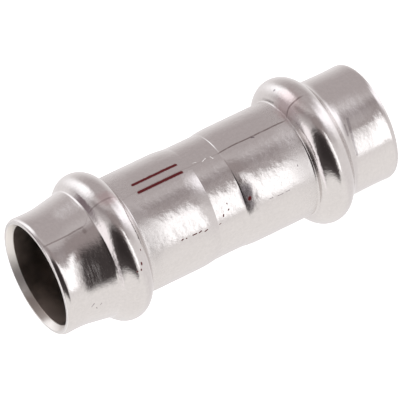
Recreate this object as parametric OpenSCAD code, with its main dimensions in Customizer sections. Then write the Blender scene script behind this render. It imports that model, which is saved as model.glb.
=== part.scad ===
// Straight press coupling for thin-walled metal pipe.
// One formed tube has a guide collar and a press bead at each end, and a necked pipe stop half way.
// The upper collar widens more towards its bead than the lower one.
// Each bead is the chamber of a loose seal ring.

/* [Pipe] */
// Outside diameter of the pipe that slides into each end
pipe_od = 15; // [12:0.5:22]
// Radial clearance between the pipe and the socket
socket_clearance = 0.15; // [0.05:0.01:0.4]

/* [Formed tube] */
// Length from mouth to mouth
coupling_length = 55; // [48:0.5:110]
// Wall thickness, the same all over apart from the edges of the mouths
wall = 1.2; // [0.8:0.05:2]
// Length of the straight part of each guide collar, from the mouth
collar_straight = 3.3; // [2:0.1:5]
// Angle at which the upper guide collar then widens towards its bead
upper_collar_flare = 8; // [0.5:0.5:12]
// Angle at which the lower guide collar then widens towards its bead
lower_collar_flare = 1; // [0.5:0.5:12]
// Radius of the soft bend where a collar starts to widen
collar_sweep = 12; // [4:1:20]

/* [Mouths] */
// Length along the collar of each mouth's rounded-off outer edge
mouth_edge_length = 1.1; // [0.2:0.1:1.5]
// Width of the flat ring between that edge and the lead-in bevel
mouth_flat = 0.2; // [0.1:0.05:0.4]
// Length of the lead-in bevel inside each mouth
lead_in_length = 1; // [0.2:0.1:1.8]
// How far the lead-in bevel opens the mouth, on the radius
lead_in_depth = 0.5; // [0.1:0.05:0.6]

/* [Press bead] */
// Distance from the mouth to the middle of the bead
bead_setback = 10.75; // [9.5:0.25:14]
// Outside fillet between the bead and the guide collar
collar_fillet = 1.5; // [0.5:0.1:2.5]
// Outside fillet between the bead and the plain tube
tube_fillet = 0.3; // [0.1:0.05:1]

/* [Pipe stop] */
// Length of the narrowest part of the stop
stop_flat = 4.9; // [2:0.1:8]
// Length of the rounded shoulder at each side of the stop
stop_shoulder = 2.6; // [0.5:0.05:4]
// How far the stop reaches inside the pipe's outside diameter, on the radius
stop_lip = 0.1; // [0.05:0.05:0.8]

/* [Seal ring] */
// Diameter of the ring's round section
seal_section = 2.5; // [2:0.1:3.5]
// How far the ring reaches inside the pipe's outside diameter, on the radius
seal_squeeze = 0.05; // [0:0.01:0.3]
// Clearance between the ring and the inside of the bead's crown
seal_clearance = 0.05; // [0.02:0.01:0.2]
// Room at each side of the ring in the bead
seal_side_room = 0.45; // [0.2:0.05:1]

/* [Hidden] */
$fn = 128;
// Largest distance between an arc of the section and the steps that draw it
chord_error = 0.003;
steel = [0.77, 0.74, 0.71];
rubber = [0.08, 0.08, 0.08];

// Sections are drawn with the radius along x and the height above the coupling's middle along y
half_length = coupling_length / 2;
pipe_r = pipe_od / 2;
socket_r = pipe_r + socket_clearance;
tube_r = socket_r + wall;
stop_depth = socket_r - (pipe_r - stop_lip);

// Each shoulder of the stop is an arc that runs out into the plain tube
shoulder_end = stop_flat / 2 + stop_shoulder;
shoulder_r = (pow(stop_shoulder, 2) + pow(stop_depth, 2)) / (2 * stop_depth);
shoulder_turn = asin(stop_shoulder / shoulder_r);

// The ring's section, and the round chamber that the bead's crown forms over it
seal_r = seal_section / 2;
seal_centre_r = pipe_r - seal_squeeze + seal_r;
bead_height = half_length - bead_setback;
chamber_r = seal_r + seal_side_room;
crown_r = chamber_r + wall;
crown_centre = [seal_centre_r + seal_r + seal_clearance - chamber_r, bead_height];

// Centre of the fillet that touches both the crown and a straight outer line, from a point on the line,
// its outward normal, and the direction along it that leads away from the bead
function fillet_centre(point, normal, away, fillet) =
    let (lift = fillet - (crown_centre - point) * normal)
    let (shift = sqrt(pow(crown_r + fillet, 2) - pow(lift, 2)))
    crown_centre + normal * lift + away * shift;

tube_fillet_centre = fillet_centre([tube_r, 0], [1, 0], [0, -1], tube_fillet);
flare_point = [tube_r, half_length - collar_straight];
function sweep_centre(flare) = flare_point + collar_sweep * [1, tan(flare / 2)];
function collar_fillet_centre(flare) =
    fillet_centre(flare_point, [cos(flare), sin(flare)], [-sin(flare), cos(flare)], collar_fillet);

// Direction in which the crown touches a fillet, seen from the crown's centre
function heading(centre) = atan2(centre.y - crown_centre.y, centre.x - crown_centre.x);
tube_heading = heading(tube_fillet_centre);

// Points along an arc between two directions; skip leaves out that many at each end
function arc(centre, radius, from, to, skip = 0) =
    let (step = 2 * acos(1 - chord_error / radius))
    let (steps = max(2, ceil(abs(to - from) / step)))
    [for (i = [skip:steps - skip])
        let (angle = from + (to - from) * i / steps)
        centre + radius * [cos(angle), sin(angle)]];

// One surface of the wall, from the stop to the straight part of a collar, drawn in by inset
function surface_line(inset, flare) =
    let (collar_centre = collar_fillet_centre(flare))
    let (collar_heading = heading(collar_centre))
    concat(
        arc([tube_r - inset - shoulder_r, shoulder_end], shoulder_r, -shoulder_turn, 0),
        arc(tube_fillet_centre, tube_fillet + inset, 180, 180 + tube_heading),
        arc(crown_centre, crown_r - inset, tube_heading, collar_heading, skip = 1),
        arc(collar_centre, collar_fillet + inset, 180 + collar_heading, 180 + flare),
        arc(sweep_centre(flare), collar_sweep + inset, 180 + flare, 180)
    );

// The mouth's outer edge is a quarter of an ellipse, over what the flat ring and the bevel leave of the wall
mouth_edge_depth = wall - lead_in_depth - mouth_flat;
edge_steps = 12;
mouth_edge = [for (i = [0:edge_steps])
    let (angle = 90 * i / edge_steps)
    [tube_r - mouth_edge_depth * (1 - cos(angle)), half_length - mouth_edge_length * (1 - sin(angle))]];
lead_in = [
    [socket_r, half_length - lead_in_length],
    [socket_r + lead_in_depth, half_length]
];

// Half of each surface, from the stop to the mouth
function outer_half(flare) = concat(surface_line(0, flare), mouth_edge);
function inner_half(flare) = concat(surface_line(wall, flare), lead_in);

function reversed(points) = [for (i = [len(points) - 1:-1:0]) points[i]];
function flipped(points) = [for (point = points) [point.x, -point.y]];

// The part stands on one mouth, with its axis along z
module coupling_body() {
    color(steel)
        translate([0, 0, half_length])
            rotate_extrude()
                polygon(concat(
                    reversed(flipped(outer_half(lower_collar_flare))),
                    outer_half(upper_collar_flare),
                    reversed(inner_half(upper_collar_flare)),
                    flipped(inner_half(lower_collar_flare))
                ));
}

module seal_ring(height) {
    color(rubber)
        translate([0, 0, height])
            rotate_extrude()
                translate([seal_centre_r, 0]) circle(seal_r);
}

module upper_seal_ring() {
    seal_ring(half_length + bead_height);
}

module lower_seal_ring() {
    seal_ring(half_length - bead_height);
}

coupling_body();
upper_seal_ring();
lower_seal_ring();
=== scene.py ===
"""Looks of a straight press coupling: one formed steel tube with two loose rubber seal rings inside it."""

import math
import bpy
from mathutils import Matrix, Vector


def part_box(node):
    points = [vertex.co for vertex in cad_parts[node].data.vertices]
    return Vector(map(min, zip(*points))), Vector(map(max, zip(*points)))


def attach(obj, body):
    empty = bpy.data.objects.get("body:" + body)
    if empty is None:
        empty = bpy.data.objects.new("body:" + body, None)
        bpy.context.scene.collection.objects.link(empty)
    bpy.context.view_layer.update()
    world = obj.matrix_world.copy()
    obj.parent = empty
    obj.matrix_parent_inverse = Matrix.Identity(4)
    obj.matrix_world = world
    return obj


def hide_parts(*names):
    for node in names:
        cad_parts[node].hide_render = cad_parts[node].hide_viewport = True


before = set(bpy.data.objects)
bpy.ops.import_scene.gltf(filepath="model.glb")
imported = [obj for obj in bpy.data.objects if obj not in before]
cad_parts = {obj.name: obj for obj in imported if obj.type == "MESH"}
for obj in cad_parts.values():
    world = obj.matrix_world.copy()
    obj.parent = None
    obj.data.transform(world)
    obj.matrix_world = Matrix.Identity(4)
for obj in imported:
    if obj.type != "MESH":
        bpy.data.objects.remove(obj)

from types import SimpleNamespace

import bpy
from bpy.props import FloatProperty, FloatVectorProperty, IntProperty, PointerProperty
from mathutils import Matrix, Vector

bl_info = {
    "name": "Straight press coupling",
    "version": (1, 0, 0),
    "blender": (4, 5, 0),
    "location": "3D View > Sidebar > Press coupling",
    "description": "Models the steel body of a press coupling, finishes it and its rings, and lights them",
    "category": "Add Mesh",
}

MM = 0.001
CAD_LOW, CAD_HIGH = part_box("coupling_body")
CAD_LENGTH = CAD_HIGH.z - CAD_LOW.z

# How finely the wall's section is drawn: closer on its outside than on its inside.
OUTER_TURN = math.radians(5)
INNER_TURN = math.radians(10)
OUTER_STEP = 0.5 * MM
INNER_STEP = 1.2 * MM
SAME_POINT = 0.002 * MM
SHOULDER_FINENESS = 5
BEND_STEPS = 5
DRAW_STEPS = 8
MOUTH_EDGE_STEPS = 12
SMOOTH_ANGLE = math.radians(35)


class BodySizes(bpy.types.PropertyGroup):
    """Sizes of the formed steel tube."""

    length: FloatProperty(
        name="Length", description="Length from mouth to mouth",
        default=CAD_LENGTH, unit="LENGTH", precision=5)
    tube_radius: FloatProperty(
        name="Tube radius", description="Outside radius of the tube between the beads and of the collars",
        default=8.85 * MM, unit="LENGTH", precision=5)
    wall: FloatProperty(
        name="Wall", description="Thickness of the formed wall",
        default=1.2 * MM, unit="LENGTH", precision=5)
    mouth_edge_length: FloatProperty(
        name="Mouth edge", description="Length along the collar of a mouth's rounded-off outer edge",
        default=0.8 * MM, unit="LENGTH", precision=5)
    mouth_edge_depth: FloatProperty(
        name="Mouth edge depth", description="How far a mouth's outer edge draws in, on the radius",
        default=0.45 * MM, unit="LENGTH", precision=5)
    bell_length: FloatProperty(
        name="Bell",
        description="Length of the last part of a collar, which opens very slightly to its mouth",
        default=2.3 * MM, unit="LENGTH", precision=5)
    bell_angle: FloatProperty(
        name="Bell angle", description="Angle at which that part opens",
        default=math.radians(1.8), subtype="ANGLE")
    lead_in_length: FloatProperty(
        name="Lead-in", description="Length of the lead-in bevel inside a mouth",
        default=1.0 * MM, unit="LENGTH", precision=5)
    lead_in_depth: FloatProperty(
        name="Lead-in depth", description="How far the lead-in bevel opens a mouth, on the radius",
        default=0.5 * MM, unit="LENGTH", precision=5)
    collar_straight: FloatProperty(
        name="Straight collar", description="Length of the straight part of a collar, from the mouth",
        default=3.6 * MM, unit="LENGTH", precision=5)
    upper_flare: FloatProperty(
        name="Upper flare", description="Angle at which the upper collar widens towards its bead",
        default=math.radians(9.5), subtype="ANGLE")
    lower_flare: FloatProperty(
        name="Lower flare", description="Angle at which the lower collar widens towards its bead",
        default=math.radians(1), subtype="ANGLE")
    collar_sweep: FloatProperty(
        name="Collar sweep", description="Radius of the soft bend where the flare starts",
        default=12 * MM, unit="LENGTH", precision=5)
    bead_setback: FloatProperty(
        name="Bead setback", description="Distance from a mouth to the middle of its bead",
        default=10.75 * MM, unit="LENGTH", precision=5)
    crown_radius: FloatProperty(
        name="Crown", description="Outside radius of a bead's round crown, in the wall's section",
        default=2.9 * MM, unit="LENGTH", precision=5)
    crown_centre: FloatProperty(
        name="Crown centre", description="Distance of the crown's centre from the tube's axis",
        default=8.3 * MM, unit="LENGTH", precision=5)
    upper_flank: FloatProperty(
        name="Upper flank",
        description="Slope of the straight flank between the upper bead's crown and its collar",
        default=math.radians(51), subtype="ANGLE")
    lower_flank: FloatProperty(
        name="Lower flank",
        description="Slope of the straight flank between the lower bead's crown and its collar",
        default=math.radians(60), subtype="ANGLE")
    upper_fillet: FloatProperty(
        name="Upper fillet", description="Outside fillet between the upper flank and its collar",
        default=0.5 * MM, unit="LENGTH", precision=5)
    lower_fillet: FloatProperty(
        name="Lower fillet", description="Outside fillet between the lower flank and its collar",
        default=1.5 * MM, unit="LENGTH", precision=5)
    tube_fillet: FloatProperty(
        name="Tube fillet", description="Outside fillet between a bead and the tube",
        default=0.3 * MM, unit="LENGTH", precision=5)
    stop_flat: FloatProperty(
        name="Stop", description="Length of the narrowest part of the pipe stop",
        default=4.9 * MM, unit="LENGTH", precision=5)
    stop_shoulder: FloatProperty(
        name="Stop shoulder", description="Length of the rounded shoulder at each side of the pipe stop",
        default=2.6 * MM, unit="LENGTH", precision=5)
    stop_depth: FloatProperty(
        name="Stop depth", description="How much narrower the pipe stop is than the tube, on the radius",
        default=0.25 * MM, unit="LENGTH", precision=5)
    stop_step: FloatProperty(
        name="Stop step",
        description="Length of the small step between the pipe stop and each of its shoulders",
        default=0.14 * MM, unit="LENGTH", precision=5)
    upper_shoulder_depth: FloatProperty(
        name="Upper shoulder depth",
        description="Part of the stop's depth that the upper shoulder rounds off",
        default=0.22 * MM, unit="LENGTH", precision=5)
    lower_shoulder_depth: FloatProperty(
        name="Lower shoulder depth",
        description="Part of the stop's depth that the lower shoulder rounds off",
        default=0.2 * MM, unit="LENGTH", precision=5)
    draw_length: FloatProperty(
        name="Draw length", description="Length over which the tube draws in towards a bead",
        default=3.4 * MM, unit="LENGTH", precision=5)
    draw_depth: FloatProperty(
        name="Draw depth", description="How far the tube draws in beside a bead, on the radius",
        default=0.05 * MM, unit="LENGTH", precision=5)
    crease_round: FloatProperty(
        name="Creases", description="Rounding of the creases beside the pipe stop and inside the mouths",
        default=0.2 * MM, unit="LENGTH", precision=5)
    steps_around: IntProperty(
        name="Steps", description="Number of steps that the section is spun in",
        default=240, min=32, max=512)


class SteelFinish(bpy.types.PropertyGroup):
    """Colours and gloss of the steel."""

    colour: FloatVectorProperty(
        name="Steel", description="Colour of the clean steel",
        default=(0.70, 0.665, 0.65), subtype="COLOR", min=0, max=1)
    bore_colour: FloatVectorProperty(
        name="Bore", description="Colour of the dull steel inside the tube",
        default=(0.36, 0.30, 0.265), subtype="COLOR", min=0, max=1)
    bevel_colour: FloatVectorProperty(
        name="Bevel", description="Colour of the freshly cut bevels in the mouths",
        default=(0.92, 0.88, 0.84), subtype="COLOR", min=0, max=1)
    cut_colour: FloatVectorProperty(
        name="Cut", description="Colour of the narrow cut ring at each mouth",
        default=(0.95, 0.93, 0.91), subtype="COLOR", min=0, max=1)
    seam_colour: FloatVectorProperty(
        name="Seam", description="Colour of the weld seam's line",
        default=(0.12, 0.06, 0.055), subtype="COLOR", min=0, max=1)
    tint_colour: FloatVectorProperty(
        name="Heat tint", description="Colour of the heat tint that the weld left on the beads",
        default=(0.60, 0.45, 0.45), subtype="COLOR", min=0, max=1)
    ink_colour: FloatVectorProperty(
        name="Ink", description="Colour of the printed stripes and of the ink specks",
        default=(0.10, 0.010, 0.012), subtype="COLOR", min=0, max=1)
    nick_colour: FloatVectorProperty(
        name="Nicks", description="Colour of the torn steel in the nicks",
        default=(0.88, 0.85, 0.84), subtype="COLOR", min=0, max=1)
    # The grime colour also paints the smudge's dark reflection and the shade in the lower collar's creases.
    grime_colour: FloatVectorProperty(
        name="Grime", description="Colour of the smudge, scratches and creases",
        default=(0.15, 0.12, 0.14), subtype="COLOR", min=0, max=1)
    tube_roughness: FloatProperty(
        name="Tube roughness", description="Roughness of the satin tube between the beads",
        default=0.13, min=0, max=1, subtype="FACTOR")
    formed_roughness: FloatProperty(
        name="Formed roughness", description="Roughness of the smoother beads and collars",
        default=0.07, min=0, max=1, subtype="FACTOR")
    bevel_roughness: FloatProperty(
        name="Bevel roughness", description="Roughness of the bevels in the mouths",
        default=0.45, min=0, max=1, subtype="FACTOR")
    bore_roughness: FloatProperty(
        name="Bore roughness", description="Roughness of the steel inside the tube",
        default=0.46, min=0, max=1, subtype="FACTOR")
    cut_roughness: FloatProperty(
        name="Cut roughness", description="Roughness of the narrow cut ring at each mouth",
        default=0.5, min=0, max=1, subtype="FACTOR")
    relief_depth: FloatProperty(
        name="Relief", description="Depth of the frosted relief",
        default=0.015 * MM, unit="LENGTH", precision=5)


class SealFinish(bpy.types.PropertyGroup):
    """Colour and gloss of the seal rings."""

    colour: FloatVectorProperty(
        name="Rubber", description="Colour of the seal rings",
        default=(0.012, 0.012, 0.012), subtype="COLOR", min=0, max=1)
    roughness: FloatProperty(
        name="Roughness", description="Roughness of the seal rings",
        default=0.5, min=0, max=1, subtype="FACTOR")
    relief_depth: FloatProperty(
        name="Relief", description="Depth of the rubber's grain",
        default=0.02 * MM, unit="LENGTH", precision=5)


class StudioSettings(bpy.types.PropertyGroup):
    """Camera, floor and light tent."""

    camera_elevation: FloatProperty(
        name="Camera elevation", description="Height of the camera above the horizon, as an angle",
        default=math.radians(20.54), subtype="ANGLE")
    camera_roll: FloatProperty(
        name="Camera roll", description="Turn of the camera about its line of sight",
        default=math.radians(-115.6), subtype="ANGLE")
    camera_distance: FloatProperty(
        name="Camera distance", description="Distance of the camera from the middle of the coupling",
        default=0.72, unit="LENGTH")
    camera_lens: FloatProperty(
        name="Lens", description="Focal length in millimetres, for a 36 mm wide sensor",
        default=459.3, min=1)
    camera_left: FloatProperty(
        name="Camera left", description="How far the camera is set off to the picture's left",
        default=0.353 * MM, unit="LENGTH", precision=6)
    camera_down: FloatProperty(
        name="Camera down", description="How far the camera is set off to the picture's bottom",
        default=0.268 * MM, unit="LENGTH", precision=6)
    floor_side: FloatProperty(
        name="Floor", description="Side of the square floor",
        default=3.0, unit="LENGTH")
    floor_gap: FloatProperty(
        name="Floor gap", description="How far the floor lies below the coupling's lower mouth",
        default=0.01 * MM, unit="LENGTH", precision=6)
    floor_glow: FloatProperty(
        name="Floor glow", description="Brightness of the back-lit floor",
        default=0.85, min=0)
    tent_radius: FloatProperty(
        name="Light tent", description="Radius of the round light tent",
        default=1.04, unit="LENGTH")
    tent_wall: FloatVectorProperty(
        name="Tent wall", description="Light from the bare wall of the tent",
        default=(0.95, 0.925, 0.93), subtype="COLOR", min=0)


# The light tent's soft-edged panels, in degrees, seen from the middle of the coupling in the picture's
# own frame: azimuth 0 is towards the camera and grows to the picture's right, and elevation to its top.
# Each row gives the name, the two sides at elevation 0, how far each side leans per degree of elevation,
# the softness of the sides, the bottom and top, how far these tilt per degree of azimuth, their softness,
# and the light. Later panels lie over earlier ones.
TENT_PANELS = (
    ("white table", (-400, 400), (0, 0), (10, 10), (-200, -30), 0, (10, 26), (1.07, 1.055, 1.045)),
    ("grey ceiling", (-400, 400), (0, 0), (10, 10), (46, 200), 0, (47, 10), (0.575, 0.53, 0.535)),
    ("grey cloud", (-120, 77), (0.39, 0.09), (24, 34), (16, 43), 0.07, (66, 23), (0.34, 0.295, 0.30)),
    ("left lamp", (-177, -86), (1.1, 0.42), (40, 40), (26, 65), -0.02, (40, 20), (1.6, 1.62, 1.67)),
    ("right lamp", (56, 150), (-0.28, -0.43), (32, 28), (34, 53), -0.07, (40, 40), (2.0, 2.0, 2.1)),
    ("side door", (-133, -111), (0, 0), (8, 8), (-32, -4), 0, (8, 8), (0.16, 0.14, 0.14)),
    ("grey side", (-96, -70), (-0.2, 0.3), (14, 30), (-32, 18), -0.16, (20, 6), (0.27, 0.22, 0.24)),
    ("pale shade", (6, 59), (-0.68, -0.92), (15, 13), (8, 53), 0.27, (7, 19), (0.41, 0.36, 0.36)),
    ("open front", (-31, 30), (0.72, -0.77), (20, 16), (-50, 18), 0.08, (18, 26), (0.09, 0.078, 0.078)),
    ("dark core", (-16, 20), (0.5, -0.6), (28, 28), (-36, 10), 0, (30, 30), (0.045, 0.038, 0.038)),
    ("left strip", (-63, -40.4), (0.4, 0.4), (8, 16), (-54, 4), 0.2, (16, 16), (1.35, 1.3, 1.34)),
    ("right strip", (40, 48.5), (-0.75, -0.79), (14, 14), (-24.6, 21), -0.02, (8, 12), (1.95, 1.98, 2.02)),
)

# Strokes on the steel: angle and height of one end, angle and height of the other, and half width.
# Angles are in degrees from the -Y side, growing towards +X. Heights and widths are in millimetres.
STRIPES = (
    (41.2, 31.5, 41.2, 38.5, 0.28),
    (30.8, 31.5, 30.8, 38.5, 0.28),
)
INK_SPECKS = (
    (-27.6, 33.5, -27.5, 34.1, 0.09),
    (-27.3, 32.7, -28.0, 33.1, 0.08),
    (-28.8, 31.7, -29.4, 32.2, 0.07),
    (-26.9, 35.7, -27.3, 35.9, 0.10),
    (-27.7, 35.1, -27.5, 35.2, 0.08),
    (-23.0, 28.7, -24.6, 28.8, 0.09),
    (-20.2, 27.7, -20.9, 27.8, 0.09),
    (-14.2, 27.7, -14.7, 27.7, 0.07),
    (-30.0, 29.4, -30.3, 29.7, 0.06),
    (-18.8, 24.2, -19.7, 24.3, 0.28),
    (-23.4, 43.6, -24.5, 43.6, 0.13),
    (-28.0, 43.9, -28.5, 43.9, 0.10),
    (-28.1, 44.5, -28.4, 44.6, 0.09),
    (-14.0, 43.0, -15.0, 43.0, 0.06),
)
SCRATCHES = (
    (-29.0, 19.2, -28.9, 20.1, 0.05),
    (-28.8, 18.1, -28.9, 18.7, 0.05),
    (-28.2, 20.9, -28.0, 21.4, 0.04),
    (-10.2, 15.8, -11.3, 15.8, 0.07),
    (31.2, 19.5, 32.0, 19.8, 0.10),
    (-48.5, 50.9, -51.5, 51.3, 0.05),
    (-51.0, 49.8, -52.5, 50.0, 0.05),
    (-54.5, 50.6, -56.0, 50.5, 0.05),
    (62.0, 12.5, 62.6, 12.6, 0.10),
)
# Painted shade: dark lines in the crease where the lower collar meets its bead.
CREASES = (
    (8.0, 6.0, -12.0, 6.6, 0.20),
    (-12.0, 6.6, -26.0, 6.65, 0.17),
    (4.0, 6.8, -6.0, 7.0, 0.13),
)
NICKS = (
    (32.4, 27.9, 34.2, 27.2, 0.06),
    (33.6, 26.5, 30.4, 26.3, 0.07),
    (35.8, 29.2, 34.6, 28.7, 0.05),
)

# Soft patches on the steel: angle and height of the middle, then half the size each way.
NEAR_TINT = ((31.0, 43.8), (8.0, 1.8))
FAR_TINT = ((41.0, 12.7), (18.0, 2.0))
BURN = ((18.4, 48.6), (3.0, 0.45))
# The smudge is dirt on the far stop shoulder, and partly a painted dark reflection there.
SMUDGE = ((-17.0, 24.3), (14.0, 1.0))
# A patch where one side of the upper mouth's bevel turns darker, towards the bore's colour.
SOILED_BEVEL = ((-150.0, 54.5), (27.0, 2.5))
# Painted light: a lighter patch inside the bore near the upper mouth, a painted reflection of the
# surroundings.
WORN_BORE = ((-134.0, 52.8), (40.0, 3.0))
DULLED_BEAD = ((38.0, 13.4), (22.0, 0.9))
HANDLED_COLLAR = ((-19.0, 50.0), (14.0, 1.7))

# The weld seam: its angle, how far it wanders, and how far off its middle the line fades out.
# Each shift gives the heights between which the seam moves sideways, and by what angle. The trace is faint
# and shows nearly all along: the heights between which it starts, and its strength below and above them.
# Each part gives the bottom and top of a stretch where the seam shows more, their softness, and its
# strength there.
SEAM_ANGLE = 33.0
SEAM_WANDER = 1.2
SEAM_FADE = (0.3, 1.1)
SEAM_SHIFTS = (
    (14.3, 12.9, 4.7),
    (38.0, 43.5, -2.7),
    (46.6, 48.4, -7.8),
)
SEAM_TRACE = (8.0, 14.0, 0.0, 0.1)
SEAM_PARTS = (
    (14.2, 25.2, 1.5, 1.0, 0.68),
    (10.8, 13.6, 1.4, 0.6, 0.55),
    (42.6, 46.8, 1.0, 1.0, 0.3),
    (48.4, 54.7, 0.6, 0.6, 0.45),
)

# Stretches of the coupling, in millimetres from its middle: where the formed ends and the collars begin,
# and the part of the tube beside a bead, with the softness of its ends.
FORMED_START = (13.0, 14.2)
COLLAR_START = (19.0, 21.0)
BESIDE_BEAD = (11.0, 14.0, 4.0, 0.4)


class Desk:
    """Adds nodes to one node tree and links them."""

    def __init__(self, tree):
        self.tree = tree

    def add(self, kind, **settings):
        node = self.tree.nodes.new(kind)
        for key, value in settings.items():
            setattr(node, key, value)
        return node

    def put(self, socket, value):
        if isinstance(value, bpy.types.NodeSocket):
            self.tree.links.new(value, socket)
        elif isinstance(value, (tuple, list)) and socket.type == "RGBA" and len(value) == 3:
            socket.default_value = (*value, 1.0)
        else:
            socket.default_value = value

    def math(self, operation, *values):
        node = self.add("ShaderNodeMath", operation=operation)
        for socket, value in zip(node.inputs, values):
            self.put(socket, value)
        return node.outputs[0]

    def vector(self, operation, *values):
        node = self.add("ShaderNodeVectorMath", operation=operation)
        for socket, value in zip(node.inputs, values):
            self.put(socket, value)
        return node

    def point(self, x, y, z):
        node = self.add("ShaderNodeCombineXYZ")
        for socket, value in zip(node.inputs, (x, y, z)):
            self.put(socket, value)
        return node.outputs[0]

    def ramp(self, value, low, high, at_low=0.0, at_high=1.0):
        """A smooth step from at_low to at_high as value goes from low to high."""
        node = self.add("ShaderNodeMapRange", interpolation_type="SMOOTHSTEP", clamp=True)
        self.put(node.inputs["Value"], value)
        self.put(node.inputs["From Min"], low)
        self.put(node.inputs["From Max"], high)
        self.put(node.inputs["To Min"], at_low)
        self.put(node.inputs["To Max"], at_high)
        return node.outputs["Result"]

    def edge(self, value, place, soft, at_low=0.0, at_high=1.0):
        """A soft step with its middle at place."""
        return self.ramp(value, place - soft / 2, place + soft / 2, at_low, at_high)

    def band(self, value, low, high, soft_low, soft_high):
        """1 between low and high, with a soft step at each side."""
        rise = self.edge(value, low, soft_low)
        fall = self.edge(value, high, soft_high, 1.0, 0.0)
        return self.math("MULTIPLY", rise, fall)

    def centred(self, noise):
        """A noise moved so that its middle is 0."""
        return self.math("SUBTRACT", noise, 0.5)

    def mix(self, factor, first, second):
        node = self.add("ShaderNodeMix", data_type="RGBA", clamp_factor=True)
        self.put(node.inputs["Factor"], factor)
        self.put(node.inputs["A"], first)
        self.put(node.inputs["B"], second)
        return node.outputs["Result"]

    def blend(self, factor, first, second):
        node = self.add("ShaderNodeMix", data_type="FLOAT", clamp_factor=True)
        self.put(node.inputs["Factor"], factor)
        self.put(node.inputs["A"], first)
        self.put(node.inputs["B"], second)
        return node.outputs["Result"]

    def noise(self, place, scale, detail, roughness=0.5):
        node = self.add("ShaderNodeTexNoise")
        self.put(node.inputs["Vector"], place)
        self.put(node.inputs["Scale"], scale)
        self.put(node.inputs["Detail"], detail)
        self.put(node.inputs["Roughness"], roughness)
        return node.outputs["Fac"]

    def stretch(self, place, scale):
        node = self.add("ShaderNodeMapping", vector_type="POINT")
        self.put(node.inputs["Vector"], place)
        node.inputs["Scale"].default_value = scale
        return node.outputs["Vector"]

    def group(self, tree, **values):
        """Places a node group with its named inputs, and gives its outputs."""
        node = self.add("ShaderNodeGroup", node_tree=tree)
        for name, value in values.items():
            self.put(node.inputs[name.replace("_", " ").capitalize()], value)
        return node.outputs


def new_group(name, inputs, outputs):
    """An empty shader node group with named sockets; gives its tree, its Desk and its two end nodes."""
    tree = bpy.data.node_groups.new(name, "ShaderNodeTree")
    for socket_name, kind in inputs:
        tree.interface.new_socket(name=socket_name, in_out="INPUT", socket_type=kind)
    for socket_name, kind in outputs:
        tree.interface.new_socket(name=socket_name, in_out="OUTPUT", socket_type=kind)
    desk = Desk(tree)
    start = desk.add("NodeGroupInput")
    end = desk.add("NodeGroupOutput")
    return tree, desk, start, end


def place_on_tube_group():
    """Turns a place on the coupling into angle and height, in degrees and millimetres."""
    tree, desk, start, end = new_group(
        "place on tube",
        [("Place", "NodeSocketVector")],
        [("Angle", "NodeSocketFloat"), ("Height", "NodeSocketFloat")])
    split = desk.add("ShaderNodeSeparateXYZ")
    desk.put(split.inputs[0], start.outputs["Place"])
    x, y, z = split.outputs
    back = desk.math("MULTIPLY", y, -1.0)
    angle = desk.math("DEGREES", desk.math("ARCTAN2", x, back))
    desk.put(end.inputs["Angle"], angle)
    desk.put(end.inputs["Height"], desk.math("MULTIPLY", z, 1 / MM))
    return tree


def stroke_group(radius):
    """A short stroke on a tube of this radius: 1 on it, and 0 beyond its half width."""
    tree, desk, start, end = new_group(
        "stroke",
        [("Angle", "NodeSocketFloat"), ("Height", "NodeSocketFloat"), ("First", "NodeSocketVector"),
         ("Second", "NodeSocketVector"), ("Half width", "NodeSocketFloat"), ("Ragged", "NodeSocketFloat")],
        [("Mask", "NodeSocketFloat")])
    degree = math.radians(radius / MM)
    unroll = (degree, 1.0, 0.0)
    here = desk.point(start.outputs["Angle"], start.outputs["Height"], 0.0)
    reach = desk.vector("SUBTRACT", here, start.outputs["First"]).outputs[0]
    reach = desk.vector("MULTIPLY", reach, unroll).outputs[0]
    along = desk.vector("SUBTRACT", start.outputs["Second"], start.outputs["First"]).outputs[0]
    along = desk.vector("MULTIPLY", along, unroll).outputs[0]
    share = desk.math(
        "DIVIDE", desk.vector("DOT_PRODUCT", reach, along).outputs["Value"],
        desk.vector("DOT_PRODUCT", along, along).outputs["Value"])
    share = desk.math("MINIMUM", desk.math("MAXIMUM", share, 0.0), 1.0)
    scaled = desk.add("ShaderNodeVectorMath", operation="SCALE")
    desk.put(scaled.inputs[0], along)
    desk.put(scaled.inputs["Scale"], share)
    off = desk.vector("LENGTH", desk.vector("SUBTRACT", reach, scaled.outputs[0]).outputs[0]).outputs["Value"]
    off = desk.math("ADD", off, start.outputs["Ragged"])
    half = start.outputs["Half width"]
    inner = desk.math("MULTIPLY", half, 0.55)
    outer = desk.math("MULTIPLY", half, 1.45)
    desk.put(end.inputs["Mask"], desk.ramp(off, inner, outer, 1.0, 0.0))
    return tree


def clear_selection():
    """Leaves edit mode and deselects everything."""
    if bpy.context.object and bpy.context.object.mode != "OBJECT":
        bpy.ops.object.mode_set(mode="OBJECT")
    bpy.ops.object.select_all(action="DESELECT")


def arc(centre, radius, start, stop, step):
    """Points along an arc of the wall's section, between two directions seen from its centre."""
    count = max(3, math.ceil(abs(stop - start) / step))
    points = []
    for i in range(count + 1):
        angle = start + (stop - start) * i / count
        points.append(Vector((centre.x + radius * math.cos(angle), centre.y + radius * math.sin(angle))))
    return points


def bent(before, corner, after, radius):
    """Points of the arc that rounds a corner of the section with the given radius."""
    first = (before - corner).normalized()
    second = (after - corner).normalized()
    half = first.angle(second) / 2
    middle = (first + second).normalized()
    centre = corner + middle * (radius / math.sin(half))
    start = corner + first * (radius / math.tan(half))
    stop = corner + second * (radius / math.tan(half))
    from_angle = math.atan2(start.y - centre.y, start.x - centre.x)
    to_angle = math.atan2(stop.y - centre.y, stop.x - centre.x)
    turn = (to_angle - from_angle + math.pi) % (2 * math.pi) - math.pi
    return arc(centre, radius, from_angle, from_angle + turn, abs(turn) / BEND_STEPS)


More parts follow.
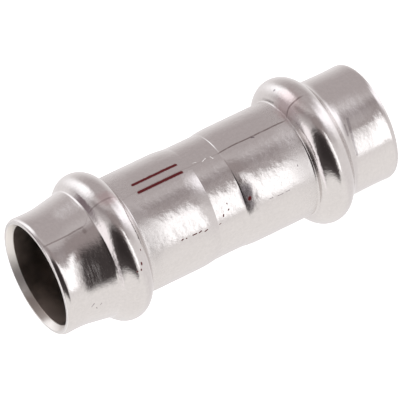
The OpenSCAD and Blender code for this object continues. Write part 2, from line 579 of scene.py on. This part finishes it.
def fillet_centre(crown, crown_radius, point, normal, away, fillet):
    """Centre of the fillet that touches both the crown and a straight line of the section."""
    lift = fillet - (crown - point).dot(normal)
    shift = math.sqrt((crown_radius + fillet) ** 2 - lift ** 2)
    return crown + normal * lift + away * shift


def heading(vector):
    """Direction of a vector in the section, as an angle."""
    return math.atan2(vector.y, vector.x)


def crossing(first_normal, first_reach, second_normal, second_reach):
    """Where two straight lines of the section cross, each given by its normal and its reach along that."""
    across = first_normal.x * second_normal.y - first_normal.y * second_normal.x
    return Vector((
        (first_reach * second_normal.y - second_reach * first_normal.y) / across,
        (second_reach * first_normal.x - first_reach * second_normal.x) / across))


def wall_line(sizes, inset, flare, flank, collar_fillet, shoulder_depth):
    """One surface of half the wall, from the coupling's middle to a mouth, drawn in by inset."""
    half = sizes.length / 2
    radius = sizes.tube_radius - inset
    turn = INNER_TURN if inset else OUTER_TURN
    crown = Vector((sizes.crown_centre, half - sizes.bead_setback))
    flare_start = Vector((sizes.tube_radius, half - sizes.collar_straight))
    tube_middle = fillet_centre(
        crown, sizes.crown_radius, Vector((sizes.tube_radius, 0)),
        Vector((1, 0)), Vector((0, -1)), sizes.tube_fillet)
    to_tube = heading(tube_middle - crown)
    off_flank = Vector((math.cos(flank), math.sin(flank)))
    off_flare = Vector((math.cos(flare), math.sin(flare)))
    flank_foot = crossing(
        off_flank, off_flank.dot(crown) + sizes.crown_radius - inset,
        off_flare, off_flare.dot(flare_start) - inset)

    neck = Vector((radius - sizes.stop_depth, 0))
    step_foot = Vector((radius - sizes.stop_depth, (sizes.stop_flat - sizes.stop_step) / 2))
    step_top = Vector((radius - shoulder_depth, (sizes.stop_flat + sizes.stop_step) / 2))
    shoulder_length = sizes.stop_shoulder - sizes.stop_step / 2
    shoulder_radius = (shoulder_length ** 2 + shoulder_depth ** 2) / (2 * shoulder_depth)
    shoulder_turn = math.asin(shoulder_length / shoulder_radius)
    shoulder_end = Vector((radius - shoulder_radius, step_top.y + shoulder_length))
    shoulder = arc(shoulder_end, shoulder_radius, -shoulder_turn, 0, turn / SHOULDER_FINENESS)

    line = [neck]
    line += bent(neck, step_foot, step_top, sizes.crease_round)
    line += bent(step_foot, step_top, shoulder[1], sizes.crease_round)
    line += shoulder[1:]
    for i in range(DRAW_STEPS + 1):
        share = i / DRAW_STEPS
        line.append(Vector((
            radius - sizes.draw_depth * share ** 2,
            tube_middle.y - sizes.draw_length * (1 - share))))
    drawn_middle = tube_middle - Vector((sizes.draw_depth, 0))
    line += arc(drawn_middle, sizes.tube_fillet + inset, math.pi, math.pi + to_tube, turn)
    line += arc(crown, sizes.crown_radius - inset, to_tube, flank, turn)[1:]
    flare_corner = flare_start - Vector((inset, inset * math.tan(flare / 2)))
    line += bent(line[-1], flank_foot, flare_corner, collar_fillet + inset)
    mouth = Vector((radius, half))
    line += bent(flank_foot, flare_corner, mouth, sizes.collar_sweep + inset)
    if inset:
        bevel_start = Vector((radius, half - sizes.lead_in_length))
        bevel_end = Vector((radius + sizes.lead_in_depth, half))
        line += bent(flare_corner, bevel_start, bevel_end, sizes.crease_round)
        line += [bevel_end]
    else:
        rim = radius + (sizes.bell_length - sizes.mouth_edge_length) * math.tan(sizes.bell_angle)
        line += [Vector((radius, half - sizes.bell_length))]
        for i in range(MOUTH_EDGE_STEPS + 1):
            angle = math.pi / 2 * i / MOUTH_EDGE_STEPS
            line.append(Vector((
                rim - sizes.mouth_edge_depth * (1 - math.cos(angle)),
                half - sizes.mouth_edge_length * (1 - math.sin(angle)))))
    return line


def evened(line, longest):
    """The same line with points added so that no step is longer than longest."""
    points = [line[0]]
    for point in line[1:]:
        gap = point - points[-1]
        if gap.length < SAME_POINT:
            continue
        count = math.ceil(gap.length / longest)
        start = points[-1]
        for i in range(1, count + 1):
            points.append(start + gap * i / count)
    return points


def wall_section(sizes):
    """The wall's closed section as (radius, height) points, once round from the lower mouth's outside."""
    def flipped(points):
        return [Vector((p.x, -p.y)) for p in points[1:]]

    lower = (sizes.lower_flare, sizes.lower_flank, sizes.lower_fillet, sizes.lower_shoulder_depth)
    upper = (sizes.upper_flare, sizes.upper_flank, sizes.upper_fillet, sizes.upper_shoulder_depth)
    lower_outer = evened(wall_line(sizes, 0, *lower), OUTER_STEP)
    upper_outer = evened(wall_line(sizes, 0, *upper), OUTER_STEP)
    lower_inner = evened(wall_line(sizes, sizes.wall, *lower), INNER_STEP)
    upper_inner = evened(wall_line(sizes, sizes.wall, *upper), INNER_STEP)
    line = flipped(lower_outer)[::-1] + upper_outer + upper_inner[::-1] + flipped(lower_inner)
    line.append(line[0])
    return [(p.x, p.y + sizes.length / 2) for p in line]


def spun_piece(name, section, steps):
    """A closed section drawn point by point and spun round the tube's axis."""
    clear_selection()
    bpy.ops.mesh.primitive_plane_add(size=1 * MM, location=(0, 0, 0))
    piece = bpy.context.object
    piece.name = name
    piece.data.name = name
    bpy.ops.object.mode_set(mode="EDIT")
    bpy.ops.mesh.select_all(action="SELECT")
    bpy.ops.mesh.merge(type="CENTER")
    radius, height = section[0]
    bpy.ops.transform.translate(value=(radius, 0, height))
    for next_radius, next_height in section[1:]:
        step = (next_radius - radius, 0, next_height - height)
        bpy.ops.mesh.extrude_region_move(TRANSFORM_OT_translate={"value": step})
        radius, height = next_radius, next_height
    bpy.ops.mesh.select_all(action="SELECT")
    bpy.ops.mesh.spin(steps=steps, angle=2 * math.pi, center=(0, 0, 0), axis=(0, 0, 1))
    bpy.ops.mesh.select_all(action="SELECT")
    bpy.ops.mesh.remove_doubles(threshold=0.001 * MM)
    bpy.ops.mesh.normals_make_consistent(inside=False)
    bpy.ops.object.mode_set(mode="OBJECT")
    bpy.ops.object.shade_smooth_by_angle(angle=SMOOTH_ANGLE)
    return piece


def new_material(name):
    """An empty material with its Desk, Principled shader and Object coordinates."""
    material = bpy.data.materials.new(name)
    material.use_nodes = True
    material.node_tree.nodes.clear()
    desk = Desk(material.node_tree)
    shader = desk.add("ShaderNodeBsdfPrincipled")
    output = desk.add("ShaderNodeOutputMaterial")
    desk.put(output.inputs["Surface"], shader.outputs["BSDF"])
    place = desk.add("ShaderNodeTexCoord").outputs["Object"]
    return material, desk, shader, place


def shade(colour, share=1.0):
    """A colour as a plain tuple, made darker or lighter by share."""
    return tuple(share * channel for channel in colour)


def strokes(desk, group, rows, angle, height, ragged):
    """One mask of all the strokes in rows."""
    mask = None
    for angle_1, height_1, angle_2, height_2, half_width in rows:
        stroke = desk.group(
            group, angle=angle, height=height,
            first=(angle_1, height_1, 0.0), second=(angle_2, height_2, 0.0),
            half_width=half_width, ragged=ragged)["Mask"]
        mask = stroke if mask is None else desk.math("MAXIMUM", mask, stroke)
    return mask


def seam_mask(desk, angle, height, wander):
    """The weld seam's thin line, with its strength along the coupling."""
    middle = SEAM_ANGLE
    for start, stop, shift in SEAM_SHIFTS:
        middle = desk.math("ADD", middle, desk.ramp(height, start, stop, 0.0, shift))
    middle = desk.math("ADD", middle, desk.math("MULTIPLY", wander, SEAM_WANDER))
    off = desk.math("ABSOLUTE", desk.math("SUBTRACT", angle, middle))
    line = desk.ramp(off, *SEAM_FADE, 1.0, 0.0)
    strength = desk.ramp(height, *SEAM_TRACE)
    for low, high, soft_low, soft_high, share in SEAM_PARTS:
        part = desk.math("MULTIPLY", desk.band(height, low, high, soft_low, soft_high), share)
        strength = desk.math("MAXIMUM", strength, part)
    return desk.math("MULTIPLY", line, strength)


def patch(desk, angle, height, middle, half_size, ragged):
    """A soft round patch on the steel with a ragged edge."""
    across = desk.math("DIVIDE", desk.math("SUBTRACT", angle, middle[0]), half_size[0])
    along = desk.math("DIVIDE", desk.math("SUBTRACT", height, middle[1]), half_size[1])
    square = desk.math("ADD", desk.math("MULTIPLY", across, across), desk.math("MULTIPLY", along, along))
    away = desk.math("ADD", desk.math("SQRT", square), ragged)
    return desk.ramp(away, 0.35, 1.15, 1.0, 0.0)


def steel_masks(desk, place, sizes):
    """The noises and masks that the steel's colour, gloss and relief are made from."""
    masks = SimpleNamespace()
    angle, height = desk.group(place_on_tube_group(), place=place)
    half = sizes.length / 2 / MM
    from_middle = desk.math("ABSOLUTE", desk.math("SUBTRACT", height, half))

    # Frosted mottle and fine grain all over, faint streaks along the drawn tube
    # and fainter rings on the formed ends
    masks.grain = desk.centred(desk.noise(place, 6000.0, 2.0))
    masks.frost = desk.centred(desk.noise(place, 2200.0, 3.0, 0.45))
    masks.waves = desk.centred(desk.noise(place, 800.0, 1.0, 0.4))
    masks.cloud = desk.centred(desk.noise(place, 420.0, 3.0, 0.55))
    masks.stain = desk.noise(place, 160.0, 3.0, 0.6)
    masks.mottle = desk.noise(place, 2100.0, 4.0, 0.65)
    masks.blotches = desk.centred(masks.mottle)
    drawn = desk.noise(desk.stretch(place, (1.0, 1.0, 0.07)), 3800.0, 3.0, 0.6)
    rolled = desk.noise(desk.stretch(place, (0.07, 0.07, 1.0)), 4200.0, 3.0, 0.6)
    masks.formed = desk.ramp(from_middle, *FORMED_START)
    masks.streaks = desk.blend(masks.formed, drawn, rolled)
    masks.on_collar = desk.ramp(from_middle, *COLLAR_START)
    masks.beside_bead = desk.band(from_middle, *BESIDE_BEAD)

    # The bore and the bevels are the parts of the wall that face the tube's axis
    flat = desk.vector("MULTIPLY", place, (1.0, 1.0, 0.0)).outputs[0]
    outwards = desk.vector("NORMALIZE", flat).outputs[0]
    facing = desk.add("ShaderNodeNewGeometry").outputs["Normal"]
    turned_out = desk.vector("DOT_PRODUCT", facing, outwards).outputs["Value"]
    bevel = half - sizes.lead_in_length / MM
    masks.turned_in = desk.ramp(turned_out, -0.3, -0.1, 1.0, 0.0)
    before_bevel = desk.ramp(from_middle, bevel, bevel + 0.1, 1.0, 0.0)
    masks.in_bore = desk.math("MULTIPLY", masks.turned_in, before_bevel)
    masks.on_bevel = desk.math("SUBTRACT", masks.turned_in, masks.in_bore)
    masks.on_cut = desk.ramp(from_middle, half - 0.07, half - 0.02)

    # Weld seam, heat tint, the patches that handling left, the smudge with its painted dark reflection, a
    # darker patch on a bevel, and a painted reflection of light in the bore
    def spot(middle_and_size, ragged):
        return patch(desk, angle, height, *middle_and_size, ragged)

    broken = desk.ramp(masks.mottle, 0.28, 0.5, 0.45, 1.0)
    seam = desk.math("MULTIPLY", seam_mask(desk, angle, height, masks.cloud), broken)
    burn = desk.math("MULTIPLY", spot(BURN, masks.blotches), 0.35)
    masks.burnt = desk.math("MAXIMUM", seam, burn)
    tint = desk.math("MAXIMUM", spot(NEAR_TINT, masks.blotches), spot(FAR_TINT, masks.blotches))
    masks.tint = desk.math("MULTIPLY", tint, 0.5)
    # Smudge on the far stop shoulder: dirt, and partly a painted dark reflection
    smudge = spot(SMUDGE, desk.math("MULTIPLY", masks.cloud, 2.2))
    masks.smudge = desk.math("MULTIPLY", smudge, 0.7)
    # One side of the bevel darker, towards the bore's colour
    masks.soiled = desk.math("MULTIPLY", spot(SOILED_BEVEL, masks.cloud), 0.85)
    # Painted reflection of light in the bore near the upper mouth
    masks.worn = desk.math("MULTIPLY", spot(WORN_BORE, masks.cloud), 0.7)
    masks.dulled = spot(DULLED_BEAD, masks.blotches)
    handled = spot(HANDLED_COLLAR, masks.blotches)
    masks.smears = desk.math("MULTIPLY", handled, desk.ramp(rolled, 0.3, 0.7))

    # Ink, scratches, painted shade in the creases of the lower collar, and nicks
    stroke = stroke_group(sizes.tube_radius)
    ragged = desk.math("MULTIPLY", masks.blotches, 0.12)
    ink = strokes(desk, stroke, STRIPES + INK_SPECKS, angle, height, ragged)
    masks.ink = desk.math("MULTIPLY", ink, desk.math("SUBTRACT", 1.0, masks.turned_in))
    scratches = desk.math("MULTIPLY", strokes(desk, stroke, SCRATCHES, angle, height, ragged), 0.8)
    # Painted shade in the creases of the lower collar
    creases = desk.math("MULTIPLY", strokes(desk, stroke, CREASES, angle, height, ragged), 0.38)
    masks.scratched = desk.math("MAXIMUM", scratches, creases)
    masks.nicks = strokes(desk, stroke, NICKS, angle, height, 0.0)
    return masks


def steel_colour(desk, masks, finish):
    """Colour of the steel, layer over layer."""
    streaked = desk.math("MULTIPLY_ADD", masks.streaks, 0.25, desk.math("MULTIPLY", masks.mottle, 0.75))
    uneven = desk.ramp(streaked, 0.25, 0.75)
    colour = desk.mix(uneven, shade(finish.colour, 0.92), shade(finish.colour))
    bevel = desk.mix(masks.soiled, shade(finish.bevel_colour), shade(finish.bore_colour, 0.8))
    stained = desk.ramp(masks.stain, 0.3, 0.7)
    bore = desk.mix(stained, shade(finish.bore_colour, 0.5), shade(finish.bore_colour, 1.2))
    # Painted reflection: the bore lighter near the upper mouth
    bore = desk.mix(masks.worn, bore, shade(finish.bore_colour, 2.1))
    layers = (
        (masks.tint, shade(finish.tint_colour)),
        (masks.smudge, shade(finish.grime_colour)),
        (masks.burnt, shade(finish.seam_colour)),
        (masks.scratched, shade(finish.grime_colour)),
        (desk.math("MULTIPLY", masks.nicks, 0.75), shade(finish.nick_colour)),
        (masks.ink, shade(finish.ink_colour)),
        (masks.on_bevel, bevel),
        (masks.in_bore, bore),
        (masks.on_cut, shade(finish.cut_colour)),
    )
    for mask, layer in layers:
        colour = desk.mix(mask, colour, layer)
    return colour


def steel_gloss(desk, masks, finish):
    """Roughness of the steel: smoother on the formed ends, uneven, and duller where it is marked or cut."""
    gloss = desk.blend(masks.formed, finish.tube_roughness, finish.formed_roughness)
    added = (
        (masks.cloud, 0.10),
        (masks.grain, 0.10),
        (masks.blotches, 0.12),
        (masks.smudge, 0.2),
        (masks.dulled, 0.45),
        (masks.smears, 0.22),
        (desk.math("MAXIMUM", masks.ink, masks.nicks), 0.35),
        (masks.beside_bead, 0.16),
    )
    for mask, share in added:
        gloss = desk.math("MULTIPLY_ADD", mask, share, gloss)
    gloss = desk.blend(masks.turned_in, gloss, finish.bevel_roughness)
    gloss = desk.blend(masks.on_cut, gloss, finish.cut_roughness)
    return desk.blend(masks.in_bore, gloss, finish.bore_roughness)


def steel_relief(desk, masks):
    """Height of the frosted relief, with soft waves under it and the nicks cut into it."""
    relief = desk.math("MULTIPLY_ADD", masks.grain, 0.3, masks.frost)
    relief = desk.math("MULTIPLY_ADD", desk.centred(masks.streaks), 0.12, relief)
    relief = desk.math("MULTIPLY", relief, desk.blend(masks.on_collar, 1.0, 0.7))
    waves = desk.math("MULTIPLY", masks.waves, desk.blend(masks.formed, 2.2, 0.4))
    relief = desk.math("ADD", relief, waves)
    return desk.math("SUBTRACT", relief, masks.nicks)


def add_relief(desk, shader, height, strength, depth):
    """Gives a shader a bump of this strength and depth."""
    bump = desk.add("ShaderNodeBump")
    bump.inputs["Strength"].default_value = strength
    bump.inputs["Distance"].default_value = depth
    desk.put(bump.inputs["Height"], height)
    desk.put(shader.inputs["Normal"], bump.outputs["Normal"])


def steel_material(finish, sizes):
    """The formed steel, with its seam and its marks."""
    material, desk, shader, place = new_material("formed steel")
    masks = steel_masks(desk, place, sizes)
    desk.put(shader.inputs["Base Color"], steel_colour(desk, masks, finish))
    desk.put(shader.inputs["Roughness"], steel_gloss(desk, masks, finish))
    add_relief(desk, shader, steel_relief(desk, masks), 1.0, finish.relief_depth)

    # Ink isn't metal, and the torn steel in the nicks scatters light
    dull = desk.math("MAXIMUM", masks.ink, desk.math("MULTIPLY", masks.nicks, 0.7))
    desk.put(shader.inputs["Metallic"], desk.math("SUBTRACT", 1.0, dull))
    desk.put(shader.inputs["Specular IOR Level"], desk.math("MULTIPLY_ADD", masks.ink, -0.4, 0.5))
    return material


def rubber_material(finish):
    """Black rubber with a fine grain."""
    material, desk, shader, place = new_material("seal rubber")
    grain = desk.noise(place, 3000.0, 3.0)
    gloss = desk.ramp(grain, 0.2, 0.8, finish.roughness - 0.1, finish.roughness + 0.12)
    desk.put(shader.inputs["Base Color"], desk.mix(grain, shade(finish.colour), shade(finish.colour, 2.2)))
    desk.put(shader.inputs["Roughness"], gloss)
    add_relief(desk, shader, grain, 0.2, finish.relief_depth)
    return material


def dress(piece, material):
    """Gives a piece this one material."""
    piece.data.materials.clear()
    piece.data.materials.append(material)


class COUPLING_OT_body(bpy.types.Operator):
    """Spin the wall's section into the formed steel body and finish it"""

    bl_idname = "coupling.body"
    bl_label = "Formed body"

    def execute(self, context):
        sizes = context.scene.coupling_body
        section = wall_section(sizes)
        body = spun_piece("formed_body", section, sizes.steps_around)
        if len(body.data.polygons) != (len(section) - 1) * sizes.steps_around:
            raise RuntimeError("the section wasn't spun all the way round")
        dress(body, steel_material(context.scene.coupling_steel, sizes))
        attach(body, "root")
        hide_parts("coupling_body")
        return {"FINISHED"}


class COUPLING_OT_seal_rings(bpy.types.Operator):
    """Finish the two rubber seal rings"""

    bl_idname = "coupling.seal_rings"
    bl_label = "Seal rings"

    def execute(self, context):
        rubber = rubber_material(context.scene.coupling_seals)
        for node in ("upper_seal_ring", "lower_seal_ring"):
            dress(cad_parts[node], rubber)
        return {"FINISHED"}


def view_axes(studio):
    """The picture's right and up, and the direction from the coupling back to the camera."""
    rise = studio.camera_elevation
    roll = studio.camera_roll
    back = Vector((0, -math.cos(rise), math.sin(rise)))
    level = Vector((1, 0, 0))
    upright = Vector((0, math.sin(rise), math.cos(rise)))
    right = level * math.cos(roll) + upright * math.sin(roll)
    up = upright * math.cos(roll) - level * math.sin(roll)
    return right, up, back


class COUPLING_OT_stage(bpy.types.Operator):
    """Set up the floor, the light tent and the camera"""

    bl_idname = "coupling.stage"
    bl_label = "Stage"

    def execute(self, context):
        studio = context.scene.coupling_studio
        self.make_floor(studio)
        self.make_tent(studio)
        self.make_backdrop(context)
        self.make_camera(context, studio)
        context.scene.view_settings.view_transform = "Standard"
        return {"FINISHED"}

    def make_floor(self, studio):
        clear_selection()
        bpy.ops.mesh.primitive_plane_add(size=studio.floor_side, location=(0, 0, -studio.floor_gap))
        floor = bpy.context.object
        floor.name = "floor"
        material, _, shader, _ = new_material("pale floor")
        shader.inputs["Base Color"].default_value = (0.9, 0.9, 0.9, 1.0)
        shader.inputs["Roughness"].default_value = 0.9
        shader.inputs["Emission Color"].default_value = (1.0, 1.0, 1.0, 1.0)
        shader.inputs["Emission Strength"].default_value = studio.floor_glow
        dress(floor, material)
        floor.visible_glossy = False
        floor.visible_shadow = False

    def make_tent(self, studio):
        """A round tent that lights the coupling and shows only in its reflections."""
        clear_selection()
        bpy.ops.mesh.primitive_uv_sphere_add(
            segments=96, ring_count=48, radius=studio.tent_radius, location=(0, 0, 0))
        tent = bpy.context.object
        tent.name = "light_tent"
        right, up, back = view_axes(studio)
        turned = Matrix((right, -back, up)).transposed().to_4x4()
        tent.matrix_world = Matrix.Translation((0, 0, CAD_LENGTH / 2)) @ turned
        bpy.ops.object.shade_smooth()
        material = bpy.data.materials.new("tent light")
        material.use_nodes = True
        material.node_tree.nodes.clear()
        material.cycles.emission_sampling = "NONE"
        desk = Desk(material.node_tree)
        outwards = desk.vector("NORMALIZE", desk.add("ShaderNodeTexCoord").outputs["Object"]).outputs[0]
        split = desk.add("ShaderNodeSeparateXYZ")
        desk.put(split.inputs[0], outwards)
        x, y, z = split.outputs
        azimuth = desk.math("DEGREES", desk.math("ARCTAN2", x, desk.math("MULTIPLY", y, -1.0)))
        elevation = desk.math("DEGREES", desk.math("ARCSINE", z))
        light = tuple(studio.tent_wall)
        for name, sides, leans, side_soft, ends, tilt, end_soft, glow in TENT_PANELS:
            middle = (sides[0] + sides[1]) / 2
            turn = desk.math("WRAP", desk.math("SUBTRACT", azimuth, middle), 180.0, -180.0)
            turn_back = desk.math("MULTIPLY", turn, -1.0)
            from_first = desk.math("MULTIPLY_ADD", elevation, -leans[0], turn)
            from_second = desk.math("MULTIPLY_ADD", elevation, leans[1], turn_back)
            between = desk.math(
                "MULTIPLY", desk.edge(from_first, sides[0] - middle, side_soft[0]),
                desk.edge(from_second, middle - sides[1], side_soft[1]))
            level = desk.math("MULTIPLY_ADD", turn, -tilt, elevation)
            panel = desk.math("MULTIPLY", between, desk.band(level, *ends, *end_soft))
            panel.node.label = name
            light = desk.mix(panel, light, glow)
        emission = desk.add("ShaderNodeEmission")
        desk.put(emission.inputs["Color"], light)
        output = desk.add("ShaderNodeOutputMaterial")
        desk.put(output.inputs["Surface"], emission.outputs["Emission"])
        dress(tent, material)
        tent.visible_camera = False

    def make_backdrop(self, context):
        world = bpy.data.worlds.new("white backdrop")
        context.scene.world = world
        world.use_nodes = True
        background = world.node_tree.nodes["Background"]
        background.inputs["Color"].default_value = (1.0, 1.0, 1.0, 1.0)
        background.inputs["Strength"].default_value = 1.0

    def make_camera(self, context, studio):
        right, up, back = view_axes(studio)
        middle = Vector((0, 0, CAD_LENGTH / 2))
        place = middle + back * studio.camera_distance
        place -= right * studio.camera_left + up * studio.camera_down
        data = bpy.data.cameras.new("camera")
        data.sensor_width = 36
        data.lens = studio.camera_lens
        data.clip_start = 0.01
        data.clip_end = 20
        camera = bpy.data.objects.new("camera", data)
        context.scene.collection.objects.link(camera)
        turn = Matrix((right, up, back)).transposed().to_4x4()
        camera.matrix_world = Matrix.Translation(place) @ turn
        context.scene.camera = camera


class COUPLING_PT_sidebar(bpy.types.Panel):
    """Lists the steps that make the coupling"""

    bl_label = "Press coupling"
    bl_idname = "COUPLING_PT_sidebar"
    bl_space_type = "VIEW_3D"
    bl_region_type = "UI"
    bl_category = "Press coupling"

    def draw(self, context):
        for step in (COUPLING_OT_body, COUPLING_OT_seal_rings, COUPLING_OT_stage):
            self.layout.operator(step.bl_idname)


CLASSES = (
    BodySizes,
    SteelFinish,
    SealFinish,
    StudioSettings,
    COUPLING_OT_body,
    COUPLING_OT_seal_rings,
    COUPLING_OT_stage,
    COUPLING_PT_sidebar,
)


def register():
    for cls in CLASSES:
        bpy.utils.register_class(cls)
    bpy.types.Scene.coupling_body = PointerProperty(type=BodySizes)
    bpy.types.Scene.coupling_steel = PointerProperty(type=SteelFinish)
    bpy.types.Scene.coupling_seals = PointerProperty(type=SealFinish)
    bpy.types.Scene.coupling_studio = PointerProperty(type=StudioSettings)


def unregister():
    del bpy.types.Scene.coupling_studio
    del bpy.types.Scene.coupling_seals
    del bpy.types.Scene.coupling_steel
    del bpy.types.Scene.coupling_body
    for cls in reversed(CLASSES):
        bpy.utils.unregister_class(cls)


def main():
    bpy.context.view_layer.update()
    register()
    bpy.ops.coupling.body()
    bpy.ops.coupling.seal_rings()
    bpy.ops.coupling.stage()


if __name__ == "__main__":
    main()
